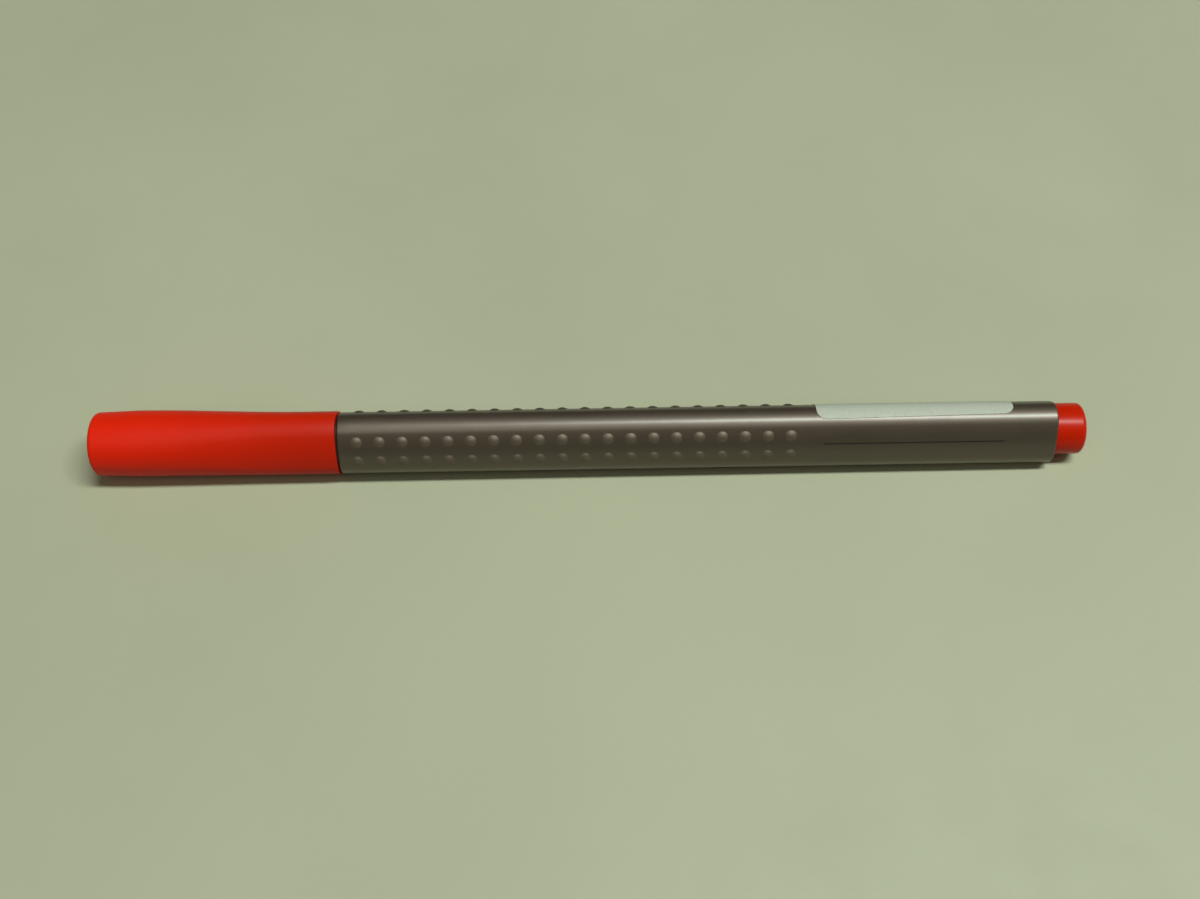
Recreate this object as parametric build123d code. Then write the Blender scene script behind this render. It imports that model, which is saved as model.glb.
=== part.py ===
from build123d import *
import math
import os

# Fineliner pen with a rounded-triangle grip barrel, lying on one face with its cap on.
# X runs along the pen, with the cap at -X and the end plug at +X. Y points away from the
# viewer and Z is up. The origin is the bottom centre of the closed pen. Millimetres.

# Lengths that show along the closed pen
CAP_LENGTH = 39.6
RIM_GAP = 0.3
BARREL_LENGTH = 115.2
PLUG_HEAD_LENGTH = 4.9

# Barrel section: three bowed faces joined by round corners
FACE_TO_AXIS = 4.5
CORNER_RISE = 0.93
CORNER_TO_AXIS = FACE_TO_AXIS + CORNER_RISE
FACE_RADIUS = 25.0
BARREL_WALL = 1.0
BORE_RADIUS = FACE_TO_AXIS - BARREL_WALL
BARREL_EDGE_CHAMFER = 0.3

# Radial clearances: pieces pressed together, and the cap's running fit
PRESS_CLEARANCE = 0.02
SLIDE_CLEARANCE = 0.05

# Paper label on the top ridge and the back face, turned a little on the barrel
LABEL_LENGTH = 31.0
LABEL_HEIGHT = 7.5
LABEL_FROM_REAR = 7.0
LABEL_THICKNESS = 0.1
LABEL_FRONT_ANGLE = 12.0
LABEL_CORNER_ROUND = 1.6
LABEL_SKEW = 0.9

# Grip dots: two rows on each face of low studs, as many as fit in front of the label.
# The studs have few sides because they repeat so often.
DOT_SIDES = 5
DOT_PITCH = 3.655
DOT_FROM_FRONT = 3.1
DOT_ROW_OFFSET = 1.65
DOT_DIAMETER = 1.5
DOT_TOP_DIAMETER = 0.7
DOT_HEIGHT = 0.32
DOT_SINK = 0.1
DOT_ROW_SPACE = BARREL_LENGTH - LABEL_FROM_REAR - LABEL_LENGTH - DOT_FROM_FRONT - DOT_DIAMETER
DOTS_PER_ROW = 1 + int(DOT_ROW_SPACE // DOT_PITCH)

# Neck that the cap slides on: a keyed triangular root, then a round stretch. The cap's rim is
# a step larger than the barrel, and its wall at the faces leaves room for the neck.
RIM_STEP = 0.2
RIM_WALL = 0.5
NECK_RADIUS = FACE_TO_AXIS + RIM_STEP - RIM_WALL - SLIDE_CLEARANCE
ROOT_LENGTH = 4.0
ROOT_TRIANGULARITY = 0.5
NECK_LENGTH = 13.5
NECK_CHAMFER = 0.6
MOUTH_CHAMFER = 0.15

# Cap: a round end that widens a little, then a long blend into a rim that is nearly as
# triangular as the barrel
CAP_ROUND_WALL = 1.16
CAP_ROUND_RADIUS = NECK_RADIUS + SLIDE_CLEARANCE + CAP_ROUND_WALL
CAP_END_TAPER = 0.24
CAP_END_RADIUS = CAP_ROUND_RADIUS - CAP_END_TAPER
CAP_ROUND_LENGTH = 7.0
CAP_BLEND_LENGTH = 21.0
CAP_BLEND_STEPS = 8
RIM_TRIANGULARITY = 0.85
CAP_END_ROUND = 0.75
CAP_END_WALL = 1.3
RIM_CHAMFER = 0.15

# Writing tip and the steel tube round it
TIP_ROD_RADIUS = 0.4
TIP_POINT_RADIUS = 0.25
TIP_POINT_LENGTH = 0.8
TIP_POINT_CHAMFER = 0.12
TIP_IN_WICK = 4.5
TUBE_BORE = TIP_ROD_RADIUS + PRESS_CLEARANCE
TUBE_WALL = 0.53
TUBE_END_WALL = 0.08
TUBE_RADIUS = TUBE_BORE + TUBE_WALL
TUBE_END_RADIUS = TUBE_BORE + TUBE_END_WALL
TUBE_EXPOSED = 3.0
TUBE_CONE = 1.4
TUBE_SEATED = 6.0

# Nose in front of the neck: sealing land, then a cone down to the tip tube
LAND_STEP = 0.95
LAND_RADIUS = NECK_RADIUS - LAND_STEP
LAND_LENGTH = 4.0
NOSE_LENGTH = 5.5
NOSE_WALL = 0.5
NOSE_END_RADIUS = TUBE_RADIUS + NOSE_WALL
STEM_LENGTH = 14.0

# Ink supply inside the barrel
WICK_RADIUS = 1.0
WICK_IN_RESERVOIR = 6.0
SLEEVE_WALL = 0.1
SLEEVE_GAP = 0.38
SLEEVE_RADIUS = BORE_RADIUS - SLEEVE_GAP
RESERVOIR_RADIUS = SLEEVE_RADIUS - SLEEVE_WALL - PRESS_CLEARANCE

# End plug, as thick as the neck so that the cap also sits on it
PLUG_RADIUS = NECK_RADIUS
PLUG_EDGE_ROUND = 0.8
PLUG_STEM_LENGTH = 10.0
PLUG_WALL = 1.0
PLUG_END_WALL = 1.5

# Sealing cup in the cap
LINER_WALL_END = 1.0
LINER_MOUTH_GAP = 0.5
LINER_LEAD_IN = 0.3

# A turned edge is rounded in this many straight steps
ROUND_STEPS = 3

# Places along X
TOTAL_LENGTH = CAP_LENGTH + RIM_GAP + BARREL_LENGTH + PLUG_HEAD_LENGTH
CAP_END_X = -TOTAL_LENGTH / 2
RIM_X = CAP_END_X + CAP_LENGTH
FRONT_X = RIM_X + RIM_GAP
FIRST_DOT_X = FRONT_X + DOT_FROM_FRONT
REAR_X = FRONT_X + BARREL_LENGTH
PLUG_END_X = REAR_X + PLUG_HEAD_LENGTH
ROOT_X = FRONT_X - ROOT_LENGTH
NECK_X = FRONT_X - NECK_LENGTH
LAND_X = NECK_X - LAND_LENGTH
NOSE_X = LAND_X - NOSE_LENGTH
TUBE_X = NOSE_X - TUBE_EXPOSED
TIP_X = TUBE_X - TIP_POINT_LENGTH
TUBE_REAR_X = NOSE_X + TUBE_SEATED
STEM_X = FRONT_X + STEM_LENGTH
PLUG_STEM_X = REAR_X - PLUG_STEM_LENGTH
WICK_REAR_X = STEM_X + WICK_IN_RESERVOIR
TIP_REAR_X = TUBE_REAR_X + TIP_IN_WICK
CAP_FLOOR_X = CAP_END_X + CAP_END_WALL
LABEL_MIDDLE_X = REAR_X - LABEL_FROM_REAR - LABEL_LENGTH / 2
CAP_ROUND_X = CAP_END_X + CAP_ROUND_LENGTH
CAP_BLEND_X = CAP_ROUND_X + CAP_BLEND_LENGTH

# The barrel section's arcs: a face arc's centre lies past the axis, and each corner arc is
# centred on the line from the axis to its corner, tangent to both faces beside it.
FACE_CENTRE = FACE_RADIUS - FACE_TO_AXIS
CORNER_REACH = FACE_RADIUS - CORNER_TO_AXIS
CORNER_CENTRE = (FACE_CENTRE**2 - CORNER_REACH**2) / (2 * CORNER_REACH - FACE_CENTRE)
CORNER_RADIUS = CORNER_TO_AXIS - CORNER_CENTRE
ARC_CENTRE_SPACING = FACE_RADIUS - CORNER_RADIUS
FACE_HALF_ANGLE = math.degrees(
    math.atan2(
        CORNER_CENTRE * math.sin(math.radians(60)),
        CORNER_CENTRE * math.cos(math.radians(60)) + FACE_CENTRE,
    )
)
FACE_ANGLES = (30, 150, 270)
TOP_ANGLE = 90
BACK_FACE_ANGLE = 30

# The cap's round end is its lowest part, so it sets how high the pen's axis lies
AXIS_HEIGHT = max(CAP_ROUND_RADIUS, FACE_TO_AXIS + RIM_STEP)
PEN_AXIS = Axis((0, 0, AXIS_HEIGHT), (1, 0, 0))
PROFILE_PLANE = Plane(origin=(0, 0, AXIS_HEIGHT), x_dir=(1, 0, 0), z_dir=(0, -1, 0))


def section_plane(x):
    """Plane square to the pen at x; its own x is Y and its own y is Z, from the pen's axis."""
    return Plane(origin=(x, 0, AXIS_HEIGHT), x_dir=(0, 1, 0), z_dir=(1, 0, 0))


def polar(radius, angle):
    """Point of a section at this distance and angle in degrees from the pen's axis."""
    turn = math.radians(angle)
    return Vector(radius * math.cos(turn), radius * math.sin(turn))


def triangle_face(x, corner_radius, triangularity=1.0):
    """Rounded-triangle face at x. Triangularity 1 is the barrel's form and 0 is a circle."""
    corner_centre = triangularity * CORNER_CENTRE
    face_centre = triangularity * FACE_CENTRE
    face_radius = triangularity * ARC_CENTRE_SPACING + corner_radius
    arcs = []
    for angle in FACE_ANGLES:
        corner_before = polar(corner_centre, angle - 60)
        corner_after = polar(corner_centre, angle + 60)
        start = corner_before + polar(corner_radius, angle - FACE_HALF_ANGLE)
        end = corner_after + polar(corner_radius, angle + FACE_HALF_ANGLE)
        next_start = corner_after + polar(corner_radius, angle + 120 - FACE_HALF_ANGLE)
        arcs.append(ThreePointArc(start, polar(face_radius - face_centre, angle), end))
        arcs.append(ThreePointArc(end, polar(corner_centre + corner_radius, angle + 60), next_start))
    return section_plane(x) * make_face(arcs)


def prism(x_from, x_to, corner_radius, triangularity=1.0):
    """Straight length of the rounded triangle between two places along the pen."""
    return extrude(triangle_face(x_from, corner_radius, triangularity), x_to - x_from)


def turned(*points):
    """Solid of revolution about the pen's axis from an outline of (x, radius) points."""
    return revolve(PROFILE_PLANE * make_face(Polyline(*points, close=True)), PEN_AXIS)


def end_round(x, radius, round_radius, outward):
    """Outline points that round the edge at x and radius, from the side to the end face.
    Outward is the way along X that the end faces, -1 or 1."""
    points = []
    for step in range(ROUND_STEPS + 1):
        corner = polar(round_radius, 90 * (1 - step / ROUND_STEPS))
        points.append((x - outward * (round_radius - corner.X), radius - round_radius + corner.Y))
    return points


def edges_at(solid, x):
    """Edges of a solid that lie in the plane square to the pen at x."""
    return solid.edges().filter_by_position(Axis.X, x - 0.001, x + 0.001)


def grip_dots():
    """Studs that stand on the barrel's faces, each with its foot sunk in the wall."""
    spread = (DOT_DIAMETER - DOT_TOP_DIAMETER) / 2 / DOT_HEIGHT
    foot = RegularPolygon(DOT_DIAMETER / 2 + DOT_SINK * spread, DOT_SIDES)
    top = Pos(0, 0, DOT_SINK + DOT_HEIGHT) * RegularPolygon(DOT_TOP_DIAMETER / 2, DOT_SIDES)
    stud = loft([foot, top], ruled=True)
    swing = math.degrees(math.asin(DOT_ROW_OFFSET / FACE_RADIUS))
    dots = []
    for face_angle in FACE_ANGLES:
        for side in (-1, 1):
            outward = polar(1, face_angle + side * swing)
            base = polar(-FACE_CENTRE, face_angle) + outward * (FACE_RADIUS - DOT_SINK)
            for index in range(DOTS_PER_ROW):
                place = Plane(
                    origin=(FIRST_DOT_X + index * DOT_PITCH, base.X, AXIS_HEIGHT + base.Y),
                    x_dir=(1, 0, 0),
                    z_dir=(0, outward.X, outward.Y),
                )
                dots.append(place * stud)
    return dots


def make_barrel():
    """Grip barrel: rounded-triangle tube with bevelled ends and the dots in one piece."""
    body = prism(FRONT_X, REAR_X, CORNER_RADIUS)
    ends = edges_at(body, FRONT_X) + edges_at(body, REAR_X)
    body = chamfer(ends, BARREL_EDGE_CHAMFER)
    body = body + grip_dots()
    bore = turned((FRONT_X, 0), (REAR_X, 0), (REAR_X, BORE_RADIUS), (FRONT_X, BORE_RADIUS))
    return body - bore


def corner_radius_for(face_reach, triangularity):
    """Corner radius of a section whose faces lie this far from the axis."""
    return face_reach - triangularity * (ARC_CENTRE_SPACING - FACE_CENTRE)


def root_corner_radius():
    """Corner radius of the neck's root, whose faces lie as far out as the round neck."""
    return corner_radius_for(NECK_RADIUS, ROOT_TRIANGULARITY)


def rim_corner_radius():
    """Corner radius of the cap's rim, whose faces stand a step out from the barrel's."""
    return corner_radius_for(FACE_TO_AXIS + RIM_STEP, RIM_TRIANGULARITY)


def cap_blend_face(share):
    """Outer face of the cap, from round at share 0 to the rim's section at share 1."""
    eased = share * share * (3 - 2 * share)
    corner_radius = CAP_ROUND_RADIUS + eased * (rim_corner_radius() - CAP_ROUND_RADIUS)
    x = CAP_ROUND_X + share * CAP_BLEND_LENGTH
    return triangle_face(x, corner_radius, eased * RIM_TRIANGULARITY)


def make_cap_shell():
    """Cap: tapered round end, blend and triangular rim in one piece, bored for the neck."""
    taper_x = CAP_END_X + CAP_END_ROUND
    end = turned(
        (CAP_END_X, 0),
        (taper_x, 0),
        *end_round(CAP_END_X, CAP_END_RADIUS, CAP_END_ROUND, -1),
    )
    faces = [triangle_face(taper_x, CAP_END_RADIUS, 0)]
    faces += [cap_blend_face(step / CAP_BLEND_STEPS) for step in range(CAP_BLEND_STEPS + 1)]
    blend = loft(faces, ruled=True)
    rim = prism(CAP_BLEND_X, RIM_X, rim_corner_radius(), RIM_TRIANGULARITY)
    rim = chamfer(edges_at(rim, RIM_X), RIM_CHAMFER)
    bore_radius = NECK_RADIUS + SLIDE_CLEARANCE
    bore = turned(
        (CAP_FLOOR_X, 0),
        (RIM_X, 0),
        (RIM_X, bore_radius + MOUTH_CHAMFER),
        (RIM_X - MOUTH_CHAMFER, bore_radius),
        (CAP_FLOOR_X, bore_radius),
    )
    mouth_x = ROOT_X - RIM_GAP
    mouth = prism(mouth_x, RIM_X, root_corner_radius() + SLIDE_CLEARANCE, ROOT_TRIANGULARITY)
    return end + blend + rim - bore - mouth


def make_cap_liner():
    """Sealing cup pressed into the cap, which closes on the land behind the nose."""
    outer = NECK_RADIUS + SLIDE_CLEARANCE - PRESS_CLEARANCE
    inner = LAND_RADIUS + SLIDE_CLEARANCE
    mouth_x = NECK_X - LINER_MOUTH_GAP
    floor_x = CAP_FLOOR_X + LINER_WALL_END
    return turned(
        (CAP_FLOOR_X, 0),
        (floor_x, 0),
        (floor_x, inner),
        (mouth_x - LINER_LEAD_IN, inner),
        (mouth_x, inner + LINER_LEAD_IN),
        (mouth_x, outer),
        (CAP_FLOOR_X, outer),
    )


def make_front_section():
    """Stem, keyed neck, sealing land and nose, bored for the wick and the tip tube."""
    stem_radius = BORE_RADIUS - PRESS_CLEARANCE
    wick_bore = WICK_RADIUS + PRESS_CLEARANCE
    tube_bore = TUBE_RADIUS + PRESS_CLEARANCE
    body = turned(
        (STEM_X, wick_bore),
        (STEM_X, stem_radius),
        (FRONT_X, stem_radius),
        (FRONT_X, NECK_RADIUS),
        (NECK_X + NECK_CHAMFER, NECK_RADIUS),
        (NECK_X, NECK_RADIUS - NECK_CHAMFER),
        (NECK_X, LAND_RADIUS),
        (LAND_X, LAND_RADIUS),
        (NOSE_X, NOSE_END_RADIUS),
        (NOSE_X, tube_bore),
        (TUBE_REAR_X, tube_bore),
        (TUBE_REAR_X, wick_bore),
    )
    root = prism(ROOT_X, FRONT_X, root_corner_radius(), ROOT_TRIANGULARITY)
    hollow = turned((ROOT_X, 0), (FRONT_X, 0), (FRONT_X, wick_bore), (ROOT_X, wick_bore))
    return body + (root - hollow)


def make_tip_tube():
    """Steel tube with a coned end that carries the writing tip."""
    return turned(
        (TUBE_REAR_X, TUBE_BORE),
        (TUBE_REAR_X, TUBE_RADIUS),
        (TUBE_X + TUBE_CONE, TUBE_RADIUS),
        (TUBE_X, TUBE_END_RADIUS),
        (TUBE_X, TUBE_BORE),
    )


def make_fibre_tip():
    """Fibre rod through the tube, stepped down to a bevelled writing point."""
    return turned(
        (TIP_REAR_X, 0),
        (TIP_REAR_X, TIP_ROD_RADIUS),
        (TUBE_X, TIP_ROD_RADIUS),
        (TUBE_X, TIP_POINT_RADIUS),
        (TIP_X + TIP_POINT_CHAMFER, TIP_POINT_RADIUS),
        (TIP_X, TIP_POINT_RADIUS - TIP_POINT_CHAMFER),
        (TIP_X, 0),
    )


def make_ink_wick():
    """Wick from the reservoir to the tube, with a hole for the tip's rear end."""
    hole = TIP_ROD_RADIUS + PRESS_CLEARANCE
    return turned(
        (WICK_REAR_X, 0),
        (WICK_REAR_X, WICK_RADIUS),
        (TUBE_REAR_X, WICK_RADIUS),
        (TUBE_REAR_X, hole),
        (TIP_REAR_X, hole),
        (TIP_REAR_X, 0),
    )


def make_ink_reservoir():
    """Fibre rod held between the stem and the plug, with a hole for the wick."""
    hole = WICK_RADIUS + PRESS_CLEARANCE
    return turned(
        (PLUG_STEM_X, 0),
        (PLUG_STEM_X, RESERVOIR_RADIUS),
        (STEM_X, RESERVOIR_RADIUS),
        (STEM_X, hole),
        (WICK_REAR_X, hole),
        (WICK_REAR_X, 0),
    )


def make_reservoir_sleeve():
    """Film round the reservoir, as long as the reservoir is."""
    inner = SLEEVE_RADIUS - SLEEVE_WALL
    return turned(
        (STEM_X, inner),
        (STEM_X, SLEEVE_RADIUS),
        (PLUG_STEM_X, SLEEVE_RADIUS),
        (PLUG_STEM_X, inner),
    )


def make_end_plug():
    """Plug: round head against the barrel's end, and a hollow stem in the bore."""
    stem_radius = BORE_RADIUS - PRESS_CLEARANCE
    hollow_radius = stem_radius - PLUG_WALL
    hollow_x = PLUG_END_X - PLUG_END_WALL
    return turned(
        (PLUG_STEM_X, hollow_radius),
        (PLUG_STEM_X, stem_radius),
        (REAR_X, stem_radius),
        (REAR_X, PLUG_RADIUS),
        *end_round(PLUG_END_X, PLUG_RADIUS, PLUG_EDGE_ROUND, 1),
        (PLUG_END_X, 0),
        (hollow_x, 0),
        (hollow_x, hollow_radius),
    )


def label_window(edge, angle, side):
    """Round-cornered block from one long edge of the label inwards, square to the barrel there."""
    normal = polar(1, angle)
    lean = polar(-math.tan(math.radians(LABEL_SKEW)), angle + 90)
    edge_plane = Plane(
        origin=(LABEL_MIDDLE_X, edge.X, AXIS_HEIGHT + edge.Y),
        x_dir=(1, lean.X, lean.Y),
        z_dir=(0, normal.X, normal.Y),
    )
    reach = 3 * CORNER_TO_AXIS
    outline = RectangleRounded(LABEL_LENGTH, reach, LABEL_CORNER_ROUND)
    return extrude(edge_plane * Pos(0, side * reach / 2) * outline, reach, both=True)


def make_price_label():
    """Thin paper wrapped over the top ridge and down the back face."""
    x_from = LABEL_MIDDLE_X - LABEL_LENGTH
    x_to = LABEL_MIDDLE_X + LABEL_LENGTH
    sheet = prism(x_from, x_to, CORNER_RADIUS + LABEL_THICKNESS) - prism(x_from, x_to, CORNER_RADIUS)
    face_start = BACK_FACE_ANGLE + FACE_HALF_ANGLE
    front_angle = TOP_ANGLE + LABEL_FRONT_ANGLE
    on_ridge = math.radians(front_angle - face_start) * CORNER_RADIUS
    back_angle = face_start - math.degrees((LABEL_HEIGHT - on_ridge) / FACE_RADIUS)
    front_edge = polar(CORNER_CENTRE, TOP_ANGLE) + polar(CORNER_RADIUS, front_angle)
    back_edge = polar(-FACE_CENTRE, BACK_FACE_ANGLE) + polar(FACE_RADIUS, back_angle)
    front_window = label_window(front_edge, front_angle, 1)
    back_window = label_window(back_edge, back_angle, -1)
    return sheet & front_window & back_window


PIECES = {
    "barrel": make_barrel,
    "cap_shell": make_cap_shell,
    "cap_liner": make_cap_liner,
    "front_section": make_front_section,
    "tip_tube": make_tip_tube,
    "fibre_tip": make_fibre_tip,
    "ink_wick": make_ink_wick,
    "ink_reservoir": make_ink_reservoir,
    "reservoir_sleeve": make_reservoir_sleeve,
    "end_plug": make_end_plug,
    "price_label": make_price_label,
}

os.makedirs("parts", exist_ok=True)
for name, make_piece in PIECES.items():
    export_step(make_piece(), f"parts/{name}.step")
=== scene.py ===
import math

import bpy
from mathutils import Matrix, Vector


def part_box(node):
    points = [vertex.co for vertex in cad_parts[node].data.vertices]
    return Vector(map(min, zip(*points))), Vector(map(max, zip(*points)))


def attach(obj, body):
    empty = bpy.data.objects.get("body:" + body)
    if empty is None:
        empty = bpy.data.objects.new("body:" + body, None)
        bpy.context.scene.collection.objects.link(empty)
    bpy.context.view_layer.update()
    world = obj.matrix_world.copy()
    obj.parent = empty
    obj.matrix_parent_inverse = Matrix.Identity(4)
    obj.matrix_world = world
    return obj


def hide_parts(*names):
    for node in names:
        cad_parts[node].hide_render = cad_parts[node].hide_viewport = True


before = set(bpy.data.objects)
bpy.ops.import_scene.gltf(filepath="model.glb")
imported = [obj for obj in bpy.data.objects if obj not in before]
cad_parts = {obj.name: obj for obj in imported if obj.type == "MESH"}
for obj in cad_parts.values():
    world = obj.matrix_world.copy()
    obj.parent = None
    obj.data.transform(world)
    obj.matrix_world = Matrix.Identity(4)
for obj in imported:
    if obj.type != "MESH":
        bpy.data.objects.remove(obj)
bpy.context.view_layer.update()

# Looks of the fineliner pen. Metres, in the CAD frame: X runs along the pen from the cap's
# closed end to the end plug, Y points away from the viewer and Z is up. Angles round the pen
# are in degrees from +Y towards +Z.
MM = 0.001
FIT_GAP = 0.02 * MM
SLIDE_CLEARANCE = 0.05 * MM

# Places along the pen, from the CAD nodes
cap_low, cap_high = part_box("cap_shell")
barrel_low, barrel_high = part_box("barrel")
plug_low, plug_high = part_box("end_plug")
section_low, section_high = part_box("front_section")
tube_low, tube_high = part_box("tip_tube")
tip_low, tip_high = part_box("fibre_tip")
liner_low, liner_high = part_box("cap_liner")
AXIS_HEIGHT = (plug_low.z + plug_high.z) / 2

# Barrel: three bowed faces and three round corners, with the CAD's reach. The faces are bowed
# more than in the CAD, as the photo's shading shows. The two differ by 0.12 mm at most.
FACE_TO_AXIS = 4.5 * MM
CORNER_TO_AXIS = FACE_TO_AXIS + 0.93 * MM
FACE_RADIUS = 11.0 * MM
FACE_ANGLES = (30, 150, 270)
BACK_FACE_ANGLE = FACE_ANGLES[0]
FRONT_FACE_ANGLE = FACE_ANGLES[1]
FACE_TO_CORNER = 60
TOP_ANGLE = 90
BORE_RADIUS = 3.5 * MM
BARREL_EDGE_ROUND = 0.3 * MM

# The corners' arcs, from the faces' arcs running smoothly into them
FACE_CENTRE = FACE_RADIUS - FACE_TO_AXIS
CORNER_REACH = FACE_RADIUS - CORNER_TO_AXIS
CORNER_CENTRE = (FACE_CENTRE**2 - CORNER_REACH**2) / (2 * CORNER_REACH - FACE_CENTRE)
CORNER_RADIUS = CORNER_TO_AXIS - CORNER_CENTRE
ARC_CENTRE_SPACING = FACE_RADIUS - CORNER_RADIUS
FACE_HALF_ANGLE = math.degrees(
    math.atan2(
        CORNER_CENTRE * math.sin(math.radians(FACE_TO_CORNER)),
        CORNER_CENTRE * math.cos(math.radians(FACE_TO_CORNER)) + FACE_CENTRE,
    )
)
FACE_HALF_LENGTH = math.radians(FACE_HALF_ANGLE) * FACE_RADIUS
CORNER_HALF_LENGTH = math.radians(FACE_TO_CORNER - FACE_HALF_ANGLE) * CORNER_RADIUS

# How far a face of the barrel's form lies beyond its corner radius
FACE_GROWTH = ARC_CENTRE_SPACING - FACE_CENTRE

# Grip dots: low domes in two rows on each face. The mesh is finer across a dot, and one more ring
# on each side of it, DOT_SUPPORT times its radius away, keeps the face beside it smooth.
DOTS_PER_ROW = 20
DOT_PITCH = 3.655 * MM
DOT_FROM_FRONT = 3.1 * MM
DOT_RADIUS = 0.85 * MM
DOT_HEIGHT = 0.26 * MM
DOT_ROW_OFFSET = 1.65 * MM
DOT_STEPS = 14
DOT_SUPPORT = 1.07
MIDDLE_STEPS = 3
CORNER_STEPS = 16

# Front section: nose, sealing land, neck, keyed root and the stem in the barrel. The root is a
# little triangular, so that it turns the cap to line up with the barrel.
NOSE_END_RADIUS = 1.45 * MM
NOSE_END_ROUND = 0.12 * MM
NOSE_SHOULDER_ROUND = 1.5 * MM
LAND_RADIUS = 3.2 * MM
LAND_LENGTH = 4 * MM
LAND_END_ROUND = 0.2 * MM
NECK_RADIUS = 4.15 * MM
NECK_LENGTH = 13.5 * MM
NECK_CHAMFER = 0.6 * MM
NECK_FOOT_ROUND = 0.1 * MM
NECK_CHAMFER_ROUND = 0.4 * MM
ROOT_LENGTH = 4.0 * MM
ROOT_LEAD = 0.2 * MM
ROOT_TRIANGULARITY = 0.5
ROOT_RADIUS = NECK_RADIUS - ROOT_TRIANGULARITY * FACE_GROWTH
STEM_RADIUS = BORE_RADIUS - FIT_GAP
WICK_BORE = 1.02 * MM

# Cap: round and tapered at its closed end, then one blend to the triangle of its rim
CAP_BORE = NECK_RADIUS + SLIDE_CLEARANCE
CAP_ROUND_RADIUS = CAP_BORE + 1.158 * MM
CAP_END_RADIUS = CAP_ROUND_RADIUS - 0.24 * MM
CAP_END_ROUND = 0.75 * MM
CAP_ROUND_LENGTH = 7.0 * MM
CAP_BLEND_LENGTH = 27.0 * MM
CAP_BLEND_RINGS = 36
RIM_STEP = 0.2 * MM
RIM_ROUND = 0.14 * MM
RIM_TRIANGULARITY = 0.85
RIM_RADIUS = FACE_TO_AXIS + RIM_STEP - RIM_TRIANGULARITY * FACE_GROWTH
MOUTH_MARGIN = 0.3 * MM

# End plug: hollow stem in the bore, and a head with a round edge
PLUG_RADIUS = NECK_RADIUS
PLUG_EDGE_ROUND = 0.8 * MM
PLUG_FOOT_ROUND = 0.15 * MM
PLUG_FOOT_WIDTH = 0.4 * MM
PLUG_END_WIDTH = 1.8 * MM
PLUG_STEM_ROUND = 0.3 * MM
PLUG_HOLLOW_RADIUS = STEM_RADIUS - 1.0 * MM
PLUG_END_WALL = 1.5 * MM

# Steel tube and fibre tip
TUBE_RADIUS = 0.95 * MM
TUBE_SEAT_RADIUS = 0.97 * MM
TUBE_END_RADIUS = 0.5 * MM
TUBE_END_ROUND = 0.03 * MM
TUBE_TAPER_LENGTH = 1.4 * MM
TUBE_TAPER_ROUND = 0.8 * MM
TUBE_RING_STEP = 5
TIP_ROD_RADIUS = 0.4 * MM
TIP_BORE = TIP_ROD_RADIUS + FIT_GAP
TIP_POINT_RADIUS = 0.25 * MM
TIP_POINT_ROUND = 0.15 * MM
TIP_RING_STEP = 7.5

# Sealing cup in the cap
CUP_INNER = LAND_RADIUS + SLIDE_CLEARANCE
CUP_OUTER = CAP_BORE - FIT_GAP
CUP_FLOOR = 1.0 * MM
CUP_FLOOR_ROUND = 0.5 * MM
CUP_BACK_ROUND = 0.2 * MM
CUP_LEAD = 0.3 * MM
CUP_LIP_ROUND = 0.1 * MM

# Label, turned a little on the barrel, and the printed rule on the front face
LABEL_LENGTH = 31.5 * MM
LABEL_HEIGHT = 7.5 * MM
LABEL_CORNER = 1.6 * MM
LABEL_SKEW = math.radians(0.9)
LABEL_FRONT_ANGLE = TOP_ANGLE + 15.0
LABEL_THICKNESS = 0.098 * MM
LABEL_FROM_REAR = 7.0 * MM
LABEL_MIDDLE_X = barrel_high.x - LABEL_FROM_REAR - LABEL_LENGTH / 2
RULE_START = barrel_high.x - 37.4 * MM
RULE_END = barrel_high.x - 8.5 * MM
RULE_WIDTH = 0.24 * MM
RULE_RISE = 0.15 * MM
RULE_THICKNESS = 0.012 * MM

# Meshes: degrees from one point of a ring to the next, degrees from one point of a rounded edge
# to the next, and the angles above which an edge stays sharp
RING_STEP = 2.5
ROUND_STEP = 12.0
PIECE_CREASE = 30.0
SHEET_CREASE = 50.0

# Floor, which leans a little so that it meets the cap's belly and the last dots underneath
FLOOR_SLOPE = 0.0056
FLOOR_CONTACT_X = -73 * MM
FLOOR_HALF_SIZE = 3.0

# Camera, at the photo's viewing angle
PHOTO_WIDTH = 1200
SENSOR_WIDTH = 36.0
FOCAL_PIXELS = 1350.0
ELEVATION = math.radians(57.0)
ROLL = math.radians(0.93)
DEPTH = 220.0 * MM
ABOVE_CENTRE = 2.22 * MM
RIGHT_OF_MIDDLE = 1.93 * MM
CLIP_START = 5 * MM

# Dim room: one colour all round, and another that comes in above this height of a unit direction
ROOM_ROUND = (0.024, 0.016, 0.011, 1.0)
ROOM_ABOVE = (0.03, 0.022, 0.018, 1.0)
ROOM_ABOVE_FROM = 0.5


def polar(radius, angle):
    """Offset in the section at this distance and angle."""
    turn = math.radians(angle)
    return Vector((0.0, radius * math.cos(turn), radius * math.sin(turn)))


def turn_from_face(angle):
    """Angle from the middle of the nearest face to this one."""
    return (angle - BACK_FACE_ANGLE + FACE_TO_CORNER) % (2 * FACE_TO_CORNER) - FACE_TO_CORNER


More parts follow.
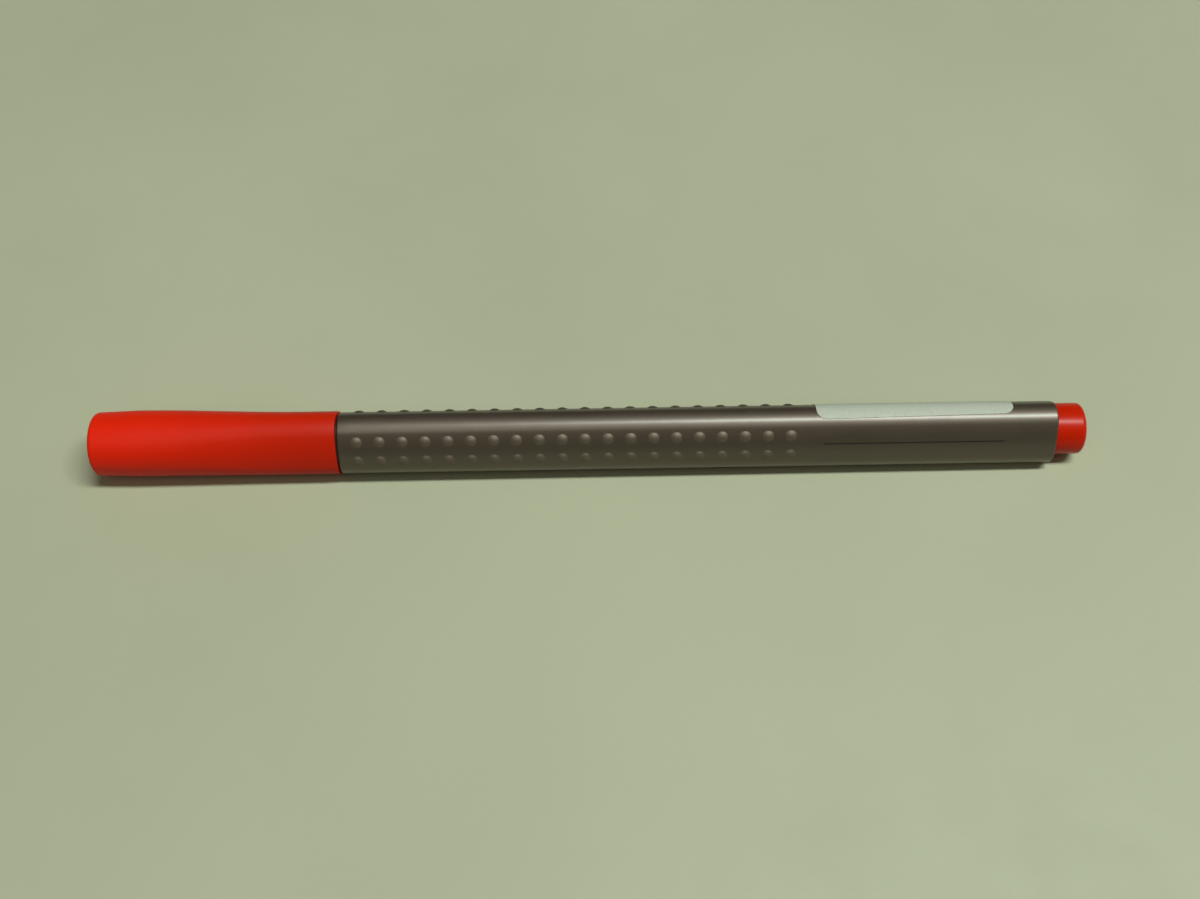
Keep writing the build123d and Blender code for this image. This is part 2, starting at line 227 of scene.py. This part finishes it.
def section_point(x, angle, corner_radius, triangularity=1.0):
    """Point of the section at x where its surface faces this angle. Triangularity 1 is the
    barrel's form and 0 is a circle."""
    from_face = turn_from_face(angle)
    face_angle = angle - from_face
    if abs(from_face) <= FACE_HALF_ANGLE:
        centre = polar(-triangularity * FACE_CENTRE, face_angle)
        radius = triangularity * ARC_CENTRE_SPACING + corner_radius
    else:
        corner_angle = face_angle + math.copysign(FACE_TO_CORNER, from_face)
        centre = polar(triangularity * CORNER_CENTRE, corner_angle)
        radius = corner_radius
    return Vector((x, 0.0, AXIS_HEIGHT)) + centre + polar(radius, angle)


def angle_at(distance):
    """Angle from a face's middle that the barrel's surface has turned at this distance round it."""
    on_face = min(abs(distance), FACE_HALF_LENGTH)
    past_face = abs(distance) - on_face
    turn = on_face / FACE_RADIUS + past_face / CORNER_RADIUS
    return math.copysign(math.degrees(turn), distance)


def distance_at(angle):
    """Distance round the barrel from a face's middle to where the surface has turned this far."""
    on_face = min(abs(angle), FACE_HALF_ANGLE)
    past_face = abs(angle) - on_face
    return math.radians(on_face) * FACE_RADIUS + math.radians(past_face) * CORNER_RADIUS


def stepped(low, high, steps):
    """Evenly spaced values from low to high."""
    return [low + (high - low) * step / steps for step in range(steps + 1)]


def even_angles(step=RING_STEP):
    """Angles of a ring's points, evenly spaced."""
    count = round(360 / step)
    return [360 * index / count for index in range(count)]


def rounded(points):
    """Outline of (x, radius, rounding) points with an arc in place of each rounded point."""
    path = []
    for index, (x, radius, rounding) in enumerate(points):
        here = Vector((x, radius))
        if not rounding:
            path.append((here.x, here.y))
            continue
        back = (Vector(points[index - 1][:2]) - here).normalized()
        ahead = (Vector(points[index + 1][:2]) - here).normalized()
        half = back.angle(ahead) / 2
        centre = here + (back + ahead).normalized() * (rounding / math.sin(half))
        first = here + back * (rounding / math.tan(half)) - centre
        last = here + ahead * (rounding / math.tan(half)) - centre
        sweep = first.angle_signed(last)
        steps = max(2, round(math.degrees(abs(sweep)) / ROUND_STEP))
        for step in range(steps + 1):
            turn = Matrix.Rotation(-sweep * step / steps, 2)
            path.append(tuple(centre + turn @ first))
    return path


def turned(points):
    """Stations of a round piece from an outline of (x, radius, rounding) points."""
    return [(x, radius, 0.0) for x, radius in rounded(points)]


def new_piece(name, vertices, faces, crease=PIECE_CREASE):
    """Smooth-shaded mesh object that keeps its edges sharper than the crease angle."""
    mesh = bpy.data.meshes.new(name)
    mesh.from_pydata([tuple(v) for v in vertices], [], faces)
    mesh.update()
    mesh.shade_smooth()
    mesh.set_sharp_from_angle(angle=math.radians(crease))
    piece = bpy.data.objects.new(name, mesh)
    bpy.context.scene.collection.objects.link(piece)
    return piece


def skin(name, stations, angles=None, closed=False, lift=None):
    """Piece through one ring per station (x, corner radius, triangularity). A station with no
    radius is a point that closes an end. Lift gives an extra height at (x, angle)."""
    angles = angles or even_angles()
    vertices = []
    rings = []
    for x, radius, triangularity in stations:
        ring_angles = angles if radius > 0 else angles[:1]
        start = len(vertices)
        for angle in ring_angles:
            extra = lift(x, angle) if lift and radius == CORNER_RADIUS else 0.0
            vertices.append(section_point(x, angle, radius + extra, triangularity))
        rings.append([start + index for index in range(len(ring_angles))])
    pairs = list(zip(rings, rings[1:]))
    if closed:
        pairs.append((rings[-1], rings[0]))
    faces = []
    for ring, following in pairs:
        for index in range(len(angles)):
            after = (index + 1) % len(angles)
            corners = [
                ring[index % len(ring)],
                ring[after % len(ring)],
                following[after % len(following)],
                following[index % len(following)],
            ]
            faces.append(list(dict.fromkeys(corners)))
    return new_piece(name, vertices, faces)


def install(piece, body, slot, material, *nodes):
    """Puts a finished piece on its body, in place of CAD nodes, with its material. The slot
    argument is not used.
    """
    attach(piece, body)
    if nodes:
        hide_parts(*nodes)
    piece.data.materials.clear()
    piece.data.materials.append(material)


# Materials


class Finish:
    """Principled material whose colour, roughness and relief come from noise in the piece."""

    def __init__(self, name, **constants):
        self.material = bpy.data.materials.new(name)
        self.material.use_nodes = True
        self.nodes = self.material.node_tree.nodes
        self.links = self.material.node_tree.links
        self.shader = self.nodes["Principled BSDF"]
        self.place = self.nodes.new("ShaderNodeTexCoord").outputs["Object"]
        for socket, value in constants.items():
            self.shader.inputs[socket.replace("_", " ")].default_value = value

    def noise(self, size, detail=3.0, stretch=1.0):
        """Noise whose features are about this size, and this many times as long along the pen."""
        mapping = self.nodes.new("ShaderNodeMapping")
        mapping.inputs["Scale"].default_value = (1.0 / stretch, 1.0, 1.0)
        self.links.new(self.place, mapping.inputs["Vector"])
        noise = self.nodes.new("ShaderNodeTexNoise")
        noise.inputs["Scale"].default_value = 1.0 / size
        noise.inputs["Detail"].default_value = detail
        self.links.new(mapping.outputs["Vector"], noise.inputs["Vector"])
        return noise.outputs["Fac"]

    def along(self, start, end, noise, stir=0.2):
        """Value that runs from 0 to 1 between two places along the pen, stirred by noise."""
        split = self.nodes.new("ShaderNodeSeparateXYZ")
        self.links.new(self.place, split.inputs["Vector"])
        spread = self.nodes.new("ShaderNodeMapRange")
        spread.inputs["From Min"].default_value = start
        spread.inputs["From Max"].default_value = end
        self.links.new(split.outputs["X"], spread.inputs["Value"])
        total = self.nodes.new("ShaderNodeMath")
        total.operation = "MULTIPLY_ADD"
        self.links.new(noise, total.inputs[0])
        total.inputs[1].default_value = stir
        self.links.new(spread.outputs["Result"], total.inputs[2])
        return total.outputs["Value"]

    def colours(self, noise, first, second, low=0.35, high=0.65):
        """Colour that goes from the first to the second as the noise goes from low to high."""
        ramp = self.nodes.new("ShaderNodeValToRGB")
        ramp.color_ramp.elements[0].position = low
        ramp.color_ramp.elements[1].position = high
        ramp.color_ramp.elements[0].color = (*first, 1.0)
        ramp.color_ramp.elements[1].color = (*second, 1.0)
        self.links.new(noise, ramp.inputs["Fac"])
        self.links.new(ramp.outputs["Color"], self.shader.inputs["Base Color"])

    def roughness(self, noise, least, most, low=0.3, high=0.7):
        """Roughness that goes from least to most as the noise goes from low to high."""
        spread = self.nodes.new("ShaderNodeMapRange")
        spread.inputs["From Min"].default_value = low
        spread.inputs["From Max"].default_value = high
        spread.inputs["To Min"].default_value = least
        spread.inputs["To Max"].default_value = most
        self.links.new(noise, spread.inputs["Value"])
        self.links.new(spread.outputs["Result"], self.shader.inputs["Roughness"])

    def relief(self, noise, depth):
        """Bump of this depth."""
        bump = self.nodes.new("ShaderNodeBump")
        bump.inputs["Distance"].default_value = depth
        self.links.new(noise, bump.inputs["Height"])
        self.links.new(bump.outputs["Normal"], self.shader.inputs["Normal"])


# Barrel and dots: dark silver with fine flakes, under a clear coat on the barrel only
FLAKE_SIZE = 0.09 * MM
FLAKE_DETAIL = 2.0
SILVER_EDGE = (0.5, 0.46, 0.4, 1.0)

silver = Finish(
    "silver_plastic",
    Metallic=0.85,
    Specular_Tint=SILVER_EDGE,
    Coat_Weight=1.0,
    Coat_Roughness=0.32,
)
flakes = silver.noise(FLAKE_SIZE, FLAKE_DETAIL)
silver.colours(flakes, (0.113, 0.086, 0.066), (0.141, 0.108, 0.083))
silver.roughness(silver.noise(4 * MM), 0.53, 0.59)
silver.relief(silver.noise(0.6 * MM), depth=0.004 * MM)

# Dots: the barrel's silver painted lighter, a painted highlight on the dots
dot_grip_painted_highlight = Finish("dot_plastic_painted_highlight", Metallic=0.9, Specular_Tint=SILVER_EDGE)
flakes = dot_grip_painted_highlight.noise(FLAKE_SIZE, FLAKE_DETAIL)
dot_grip_painted_highlight.colours(flakes, (0.19, 0.15, 0.12), (0.225, 0.178, 0.142))
dot_grip_painted_highlight.roughness(dot_grip_painted_highlight.noise(0.5 * MM), 0.6, 0.66)
dot_grip_painted_highlight.relief(dot_grip_painted_highlight.noise(0.2 * MM), depth=0.004 * MM)

# Cap: its red is painted darker from the closed end to the rim, a painted shade
red = Finish("red_plastic", IOR=1.5, Specular_IOR_Level=0.18)
painted_shade_to_rim = red.along(cap_low.x, cap_high.x, red.noise(6 * MM))
red.colours(painted_shade_to_rim, (0.76, 0.015, 0.001), (0.52, 0.013, 0.0005), low=0.1, high=1.1)
red.roughness(red.noise(1.5 * MM), 0.46, 0.52)
red.relief(red.noise(0.2 * MM), depth=0.003 * MM)

red_gloss = Finish("red_gloss_plastic", IOR=1.5, Specular_IOR_Level=0.16)
red_gloss.colours(red_gloss.noise(3 * MM), (0.49, 0.012, 0.001), (0.53, 0.015, 0.0015))
red_gloss.roughness(red_gloss.noise(1 * MM), 0.27, 0.32)

black = Finish("black_plastic", IOR=1.5, Specular_IOR_Level=0.3)
black.colours(black.noise(2 * MM), (0.012, 0.0115, 0.011), (0.02, 0.0195, 0.019))
black.roughness(black.noise(1 * MM), 0.38, 0.5)
black.relief(black.noise(0.3 * MM), depth=0.004 * MM)

cup_plastic = Finish("cup_plastic", IOR=1.5, Subsurface_Weight=0.15)
cup_plastic.colours(cup_plastic.noise(3 * MM), (0.74, 0.73, 0.68), (0.80, 0.79, 0.74))
cup_plastic.roughness(cup_plastic.noise(1 * MM), 0.45, 0.55)

# Turned steel: its marks are short along the tube, so they run round it
steel = Finish("tip_steel", Metallic=1.0)
marks = steel.noise(0.2 * MM, detail=2.0, stretch=0.2)
steel.colours(marks, (0.56, 0.56, 0.55), (0.68, 0.68, 0.66))
steel.roughness(marks, 0.2, 0.34)

fibre = Finish("tip_fibre", IOR=1.45)
fibre.colours(fibre.noise(0.12 * MM, stretch=6.0), (0.30, 0.012, 0.008), (0.42, 0.03, 0.02))
fibre.roughness(fibre.noise(0.2 * MM), 0.6, 0.75)
fibre.relief(fibre.noise(0.1 * MM, stretch=6.0), depth=0.01 * MM)

ink = Finish("ink_fibre", IOR=1.45)
threads = ink.noise(0.2 * MM, stretch=8.0)
ink.colours(threads, (0.38, 0.02, 0.012), (0.52, 0.05, 0.03))
ink.roughness(ink.noise(0.3 * MM), 0.7, 0.85)
ink.relief(threads, depth=0.03 * MM)

film = Finish("sleeve_film", IOR=1.5)
film.colours(film.noise(4 * MM), (0.80, 0.80, 0.79), (0.88, 0.88, 0.87))
film.roughness(film.noise(2 * MM), 0.15, 0.25)

paper = Finish("label_paper", IOR=1.45)
paper.colours(paper.noise(0.4 * MM, detail=5.0), (0.425, 0.443, 0.373), (0.466, 0.486, 0.412))
paper.roughness(paper.noise(1 * MM), 0.55, 0.7)
paper.relief(paper.noise(0.25 * MM, detail=4.0), depth=0.006 * MM)

print_ink = Finish("print_ink", IOR=1.45)
print_ink.colours(print_ink.noise(0.3 * MM), (0.012, 0.011, 0.010), (0.022, 0.020, 0.018))
print_ink.roughness(print_ink.noise(0.8 * MM), 0.4, 0.55)

desk = Finish("desk_top", IOR=1.45)
desk.colours(desk.noise(80 * MM, detail=2.0), (0.383, 0.389, 0.27), (0.408, 0.414, 0.288))
desk.roughness(desk.noise(10 * MM), 0.5, 0.6)
desk.relief(desk.noise(0.8 * MM, detail=2.0), depth=0.02 * MM)


# Barrel


def dot_lift(x, angle):
    """Height of the grip dots over the barrel's face at this place."""
    across = distance_at(turn_from_face(angle)) - DOT_ROW_OFFSET
    place = (x - barrel_low.x - DOT_FROM_FRONT) / DOT_PITCH
    nearest = min(max(round(place), 0), DOTS_PER_ROW - 1)
    along = (place - nearest) * DOT_PITCH
    share = math.hypot(along, across) / DOT_RADIUS
    return DOT_HEIGHT * (1 - share**2) if share < 1 else 0.0


def barrel_angles():
    """Angles of the barrel's rings, close together where the dots are."""
    inner = DOT_ROW_OFFSET - DOT_RADIUS * DOT_SUPPORT
    outer = DOT_ROW_OFFSET + DOT_RADIUS * DOT_SUPPORT
    row = stepped(DOT_ROW_OFFSET - DOT_RADIUS, DOT_ROW_OFFSET + DOT_RADIUS, DOT_STEPS)
    corner = stepped(outer, FACE_HALF_LENGTH + CORNER_HALF_LENGTH, CORNER_STEPS)
    half = stepped(0, inner, MIDDLE_STEPS) + row + corner
    face = [-distance for distance in reversed(half[1:])] + half[:-1]
    return [face_angle + angle_at(distance) for face_angle in FACE_ANGLES for distance in face]


def barrel_places():
    """Places of the barrel's rings along the pen, close together where the dots are."""
    places = []
    first = barrel_low.x + DOT_FROM_FRONT
    for index in range(DOTS_PER_ROW):
        middle = first + index * DOT_PITCH
        places.append(middle - DOT_RADIUS * DOT_SUPPORT)
        places += stepped(middle - DOT_RADIUS, middle + DOT_RADIUS, DOT_STEPS)
        places.append(middle + DOT_RADIUS * DOT_SUPPORT)
    return places


def barrel_stations():
    """Stations of the barrel from its front bore edge over the outside to its rear bore edge."""
    inset_radius = CORNER_RADIUS - 2 * BARREL_EDGE_ROUND
    outline = rounded(
        [
            (barrel_low.x, inset_radius, 0),
            (barrel_low.x, CORNER_RADIUS, BARREL_EDGE_ROUND),
            (barrel_high.x, CORNER_RADIUS, BARREL_EDGE_ROUND),
            (barrel_high.x, inset_radius, 0),
        ]
    )
    half = len(outline) // 2
    outside = [(x, radius, 1.0) for x, radius in outline[:half]]
    outside += [(x, CORNER_RADIUS, 1.0) for x in barrel_places()]
    outside += [(x, radius, 1.0) for x, radius in outline[half:]]
    return [(barrel_low.x, BORE_RADIUS, 0.0)] + outside + [(barrel_high.x, BORE_RADIUS, 0.0)]


def mark_dots(piece, stations, angles, material):
    """Gives the faces that a dot raises a material of their own: the barrel's silver painted
    lighter, a painted highlight.
    """
    piece.data.materials.append(material)
    raised = []
    for x, radius, _ in stations:
        on_outside = radius == CORNER_RADIUS
        raised += [on_outside and dot_lift(x, angle) > 0 for angle in angles]
    for face in piece.data.polygons:
        if any(raised[corner] for corner in face.vertices):
            face.material_index = 1


stations = barrel_stations()
angles = barrel_angles()
barrel = skin("grip_barrel", stations, angles, closed=True, lift=dot_lift)
install(barrel, "pen", "barrel_plastic", silver.material, "barrel")
mark_dots(barrel, stations, angles, dot_grip_painted_highlight.material)

# Cap: from the middle of its closed end over the outside to the rim, then back inside to the floor
round_x = cap_low.x + CAP_ROUND_LENGTH
blend_x = round_x + CAP_BLEND_LENGTH
root_x = barrel_low.x - ROOT_LENGTH
mouth_x = root_x - MOUTH_MARGIN
stations = turned(
    [
        (cap_low.x, 0, 0),
        (cap_low.x, CAP_END_RADIUS - 2 * CAP_END_ROUND, 0),
        (cap_low.x, CAP_END_RADIUS, CAP_END_ROUND),
        (round_x, CAP_ROUND_RADIUS, 0),
    ]
)
for ring in range(1, CAP_BLEND_RINGS + 1):
    share = ring / CAP_BLEND_RINGS
    eased = share * share * (3 - 2 * share)
    radius = CAP_ROUND_RADIUS + eased * (RIM_RADIUS - CAP_ROUND_RADIUS)
    stations.append((round_x + share * CAP_BLEND_LENGTH, radius, eased * RIM_TRIANGULARITY))
rim = rounded(
    [
        (blend_x, RIM_RADIUS, 0),
        (cap_high.x, RIM_RADIUS, RIM_ROUND),
        (cap_high.x, RIM_RADIUS - 2 * RIM_ROUND, 0),
    ]
)
stations += [(x, radius, RIM_TRIANGULARITY) for x, radius in rim[1:]]
stations += [
    (cap_high.x, ROOT_RADIUS + SLIDE_CLEARANCE, ROOT_TRIANGULARITY),
    (mouth_x, ROOT_RADIUS + SLIDE_CLEARANCE, ROOT_TRIANGULARITY),
    (mouth_x - ROOT_LEAD, CAP_BORE, 0.0),
    (liner_low.x, CAP_BORE, 0.0),
    (liner_low.x, 0.0, 0.0),
]
cap = skin("red_cap", stations)
install(cap, "cap", "red_plastic", red.material, "cap_shell")

# End plug: from the end of its hollow over the stem to the head
hollow_x = plug_high.x - PLUG_END_WALL
stations = turned(
    [
        (hollow_x, 0, 0),
        (hollow_x, PLUG_HOLLOW_RADIUS, 0),
        (plug_low.x, PLUG_HOLLOW_RADIUS, 0),
        (plug_low.x, STEM_RADIUS, PLUG_STEM_ROUND),
        (barrel_high.x, STEM_RADIUS, 0),
        (barrel_high.x, PLUG_RADIUS - PLUG_FOOT_WIDTH, 0),
        (barrel_high.x, PLUG_RADIUS, PLUG_FOOT_ROUND),
        (plug_high.x, PLUG_RADIUS, PLUG_EDGE_ROUND),
        (plug_high.x, PLUG_RADIUS - PLUG_END_WIDTH, 0),
        (plug_high.x, 0, 0),
    ]
)
plug = skin("rear_plug", stations)
install(plug, "pen", "red_plastic", red_gloss.material, "end_plug")

# Front section: from the tube's seat over the nose, land, neck and root to the stem, and back
neck_x = barrel_low.x - NECK_LENGTH
land_x = neck_x - LAND_LENGTH
stations = turned(
    [
        (section_low.x, TUBE_SEAT_RADIUS, 0),
        (section_low.x, NOSE_END_RADIUS, NOSE_END_ROUND),
        (land_x, LAND_RADIUS, NOSE_SHOULDER_ROUND),
        (neck_x, LAND_RADIUS, LAND_END_ROUND),
        (neck_x, NECK_RADIUS - NECK_CHAMFER, NECK_FOOT_ROUND),
        (neck_x + NECK_CHAMFER, NECK_RADIUS, NECK_CHAMFER_ROUND),
        (root_x, NECK_RADIUS, 0),
    ]
)
stations += [
    (root_x + ROOT_LEAD, ROOT_RADIUS, ROOT_TRIANGULARITY),
    (barrel_low.x, ROOT_RADIUS, ROOT_TRIANGULARITY),
]
stations += turned(
    [
        (barrel_low.x, STEM_RADIUS, 0),
        (section_high.x, STEM_RADIUS, 0),
        (section_high.x, WICK_BORE, 0),
        (tube_high.x, WICK_BORE, 0),
        (tube_high.x, TUBE_SEAT_RADIUS, 0),
    ]
)
section = skin("front_section_shell", stations, closed=True)
install(section, "pen", "section_plastic", black.material, "front_section")

# Steel tube and fibre tip
stations = turned(
    [
        (tube_low.x, TIP_BORE, 0),
        (tube_low.x, TUBE_END_RADIUS, TUBE_END_ROUND),
        (tube_low.x + TUBE_TAPER_LENGTH, TUBE_RADIUS, TUBE_TAPER_ROUND),
        (tube_high.x, TUBE_RADIUS, 0),
        (tube_high.x, TIP_BORE, 0),
    ]
)
tube = skin("writing_tube", stations, even_angles(TUBE_RING_STEP), closed=True)
install(tube, "pen", "tip_steel", steel.material, "tip_tube")

stations = turned(
    [
        (tip_low.x, 0, 0),
        (tip_low.x, TIP_POINT_RADIUS, TIP_POINT_ROUND),
        (tube_low.x, TIP_POINT_RADIUS, 0),
        (tube_low.x, TIP_ROD_RADIUS, 0),
        (tip_high.x, TIP_ROD_RADIUS, 0),
        (tip_high.x, 0, 0),
    ]
)
tip = skin("writing_tip", stations, even_angles(TIP_RING_STEP))
install(tip, "pen", "tip_fibre", fibre.material, "fibre_tip")

# Sealing cup: from its back over the outside to the lip, then inside to its floor
stations = turned(
    [
        (liner_low.x, 0, 0),
        (liner_low.x, CUP_OUTER, CUP_BACK_ROUND),
        (liner_high.x, CUP_OUTER, CUP_LIP_ROUND),
        (liner_high.x, CUP_INNER + CUP_LEAD, CUP_LIP_ROUND),
        (liner_high.x - CUP_LEAD, CUP_INNER, CUP_LIP_ROUND),
        (liner_low.x + CUP_FLOOR, CUP_INNER, CUP_FLOOR_ROUND),
        (liner_low.x + CUP_FLOOR, 0, 0),
    ]
)
cup = skin("sealing_cup", stations)
install(cup, "cap", "liner_plastic", cup_plastic.material, "cap_liner")


# Label and print: thin sheets that follow the barrel's surface


def face_sheet(name, outline_point, columns, rows, thickness):
    """Thin closed sheet. Outline_point(u, v) gives (x, angle) for u and v from -1 to 1."""
    vertices = []
    for height in (thickness, 0.0):
        for v in stepped(-1, 1, rows):
            for u in stepped(-1, 1, columns):
                x, angle = outline_point(u, v)
                vertices.append(section_point(x, angle, CORNER_RADIUS + height))
    width = columns + 1
    lower = width * (rows + 1)
    faces = []
    for row in range(rows):
        for column in range(columns):
            first = row * width + column
            quad = [first, first + 1, first + width + 1, first + width]
            faces.append(quad)
            faces.append([lower + corner for corner in reversed(quad)])
    rim = list(range(columns))
    rim += [row * width + columns for row in range(rows)]
    rim += [rows * width + column for column in range(columns, 0, -1)]
    rim += [row * width for row in range(rows, 0, -1)]
    for first, second in zip(rim, rim[1:] + rim[:1]):
        faces.append([second, first, lower + first, lower + second])
    return new_piece(name, vertices, faces, SHEET_CREASE)


def label_place(u, v):
    """Point of the round-cornered label, whose long edge in front lies at v = -1."""
    across = (v + 1) / 2 * LABEL_HEIGHT
    into_corner = max(0.0, LABEL_CORNER - min(across, LABEL_HEIGHT - across))
    inset = LABEL_CORNER - math.sqrt(LABEL_CORNER**2 - into_corner**2)
    along = u * (LABEL_LENGTH / 2 - inset)
    front_edge = distance_at(LABEL_FRONT_ANGLE - BACK_FACE_ANGLE)
    from_face = front_edge - across - along * math.tan(LABEL_SKEW)
    return LABEL_MIDDLE_X + along, BACK_FACE_ANGLE + angle_at(from_face)


def rule_place(u, v):
    """Point of the thin printed rule just above the middle of the front face."""
    x = (RULE_START + RULE_END) / 2 + u * (RULE_END - RULE_START) / 2
    return x, FRONT_FACE_ANGLE - angle_at(RULE_RISE + v * RULE_WIDTH / 2)


label = face_sheet("paper_label", label_place, columns=40, rows=64, thickness=LABEL_THICKNESS)
install(label, "pen", "label_paper", paper.material, "price_label")

rule = face_sheet("printed_rule", rule_place, columns=24, rows=2, thickness=RULE_THICKNESS)
install(rule, "pen", "section_plastic", print_ink.material)

# Pieces that stay hidden inside keep their CAD meshes
for node, finish in (("ink_wick", ink), ("ink_reservoir", ink), ("reservoir_sleeve", film)):
    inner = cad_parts[node]
    inner.data.materials.clear()
    inner.data.materials.append(finish.material)

# Floor
points = []
for side_x, side_y in ((-1, -1), (1, -1), (1, 1), (-1, 1)):
    x = side_x * FLOOR_HALF_SIZE
    points.append((x, side_y * FLOOR_HALF_SIZE, FLOOR_SLOPE * (x - FLOOR_CONTACT_X)))
mesh = bpy.data.meshes.new("floor")
mesh.from_pydata(points, [], [[0, 1, 2, 3]])
mesh.materials.append(desk.material)
floor = bpy.data.objects.new("floor", mesh)
bpy.context.scene.collection.objects.link(floor)

# Camera
forward = Vector((0.0, math.cos(ELEVATION), -math.sin(ELEVATION)))
level_right = Vector((1.0, 0.0, 0.0))
level_up = level_right.cross(forward)
right = level_right * math.cos(ROLL) - level_up * math.sin(ROLL)
up = level_up * math.cos(ROLL) + level_right * math.sin(ROLL)
eye = Vector((RIGHT_OF_MIDDLE, 0.0, AXIS_HEIGHT)) - forward * DEPTH - up * ABOVE_CENTRE
lens = bpy.data.cameras.new("camera")
lens.sensor_fit = "HORIZONTAL"
lens.sensor_width = SENSOR_WIDTH
lens.lens = FOCAL_PIXELS * SENSOR_WIDTH / PHOTO_WIDTH
lens.clip_start = CLIP_START
camera = bpy.data.objects.new("camera", lens)
bpy.context.scene.collection.objects.link(camera)
camera.matrix_world = Matrix.Translation(eye) @ Matrix((right, up, -forward)).transposed().to_4x4()
bpy.context.scene.camera = camera


# Light: one long soft lamp overhead, a wide weak one in front, and the dim room


def strip_light(name, angle, distance, middle_x, length, width, power, colour):
    """Soft strip lamp along the pen, seen from the pen at this angle."""
    lamp = bpy.data.lights.new(name, "AREA")
    lamp.shape = "RECTANGLE"
    lamp.size = length
    lamp.size_y = width
    lamp.energy = power
    lamp.color = colour
    holder = bpy.data.objects.new(name, lamp)
    bpy.context.scene.collection.objects.link(holder)
    away = polar(1.0, angle)
    along = Vector((1.0, 0.0, 0.0))
    holder.matrix_world = (
        Matrix.Translation(away * distance + along * middle_x)
        @ Matrix((along, away.cross(along), away)).transposed().to_4x4()
    )


strip_light(
    "ceiling_lamp",
    angle=93,
    distance=2.4,
    middle_x=0.95,
    length=1.7,
    width=0.3,
    power=70.0,
    colour=(0.94, 1.035, 0.975),
)
strip_light(
    "window",
    angle=119,
    distance=1.0,
    middle_x=-0.34,
    length=0.8,
    width=0.5,
    power=1.75,
    colour=(0.95, 0.95, 0.78),
)

world = bpy.data.worlds.new("room")
bpy.context.scene.world = world
world.use_nodes = True
nodes = world.node_tree.nodes
links = world.node_tree.links
direction = nodes.new("ShaderNodeTexCoord")
split = nodes.new("ShaderNodeSeparateXYZ")
ramp = nodes.new("ShaderNodeValToRGB")
ramp.color_ramp.elements[0].position = ROOM_ABOVE_FROM
ramp.color_ramp.elements[0].color = ROOM_ROUND
ramp.color_ramp.elements[1].position = 1.0
ramp.color_ramp.elements[1].color = ROOM_ABOVE
links.new(direction.outputs["Generated"], split.inputs["Vector"])
links.new(split.outputs["Z"], ramp.inputs["Fac"])
links.new(ramp.outputs["Color"], nodes["Background"].inputs["Color"])

bpy.context.scene.view_settings.view_transform = "Standard"
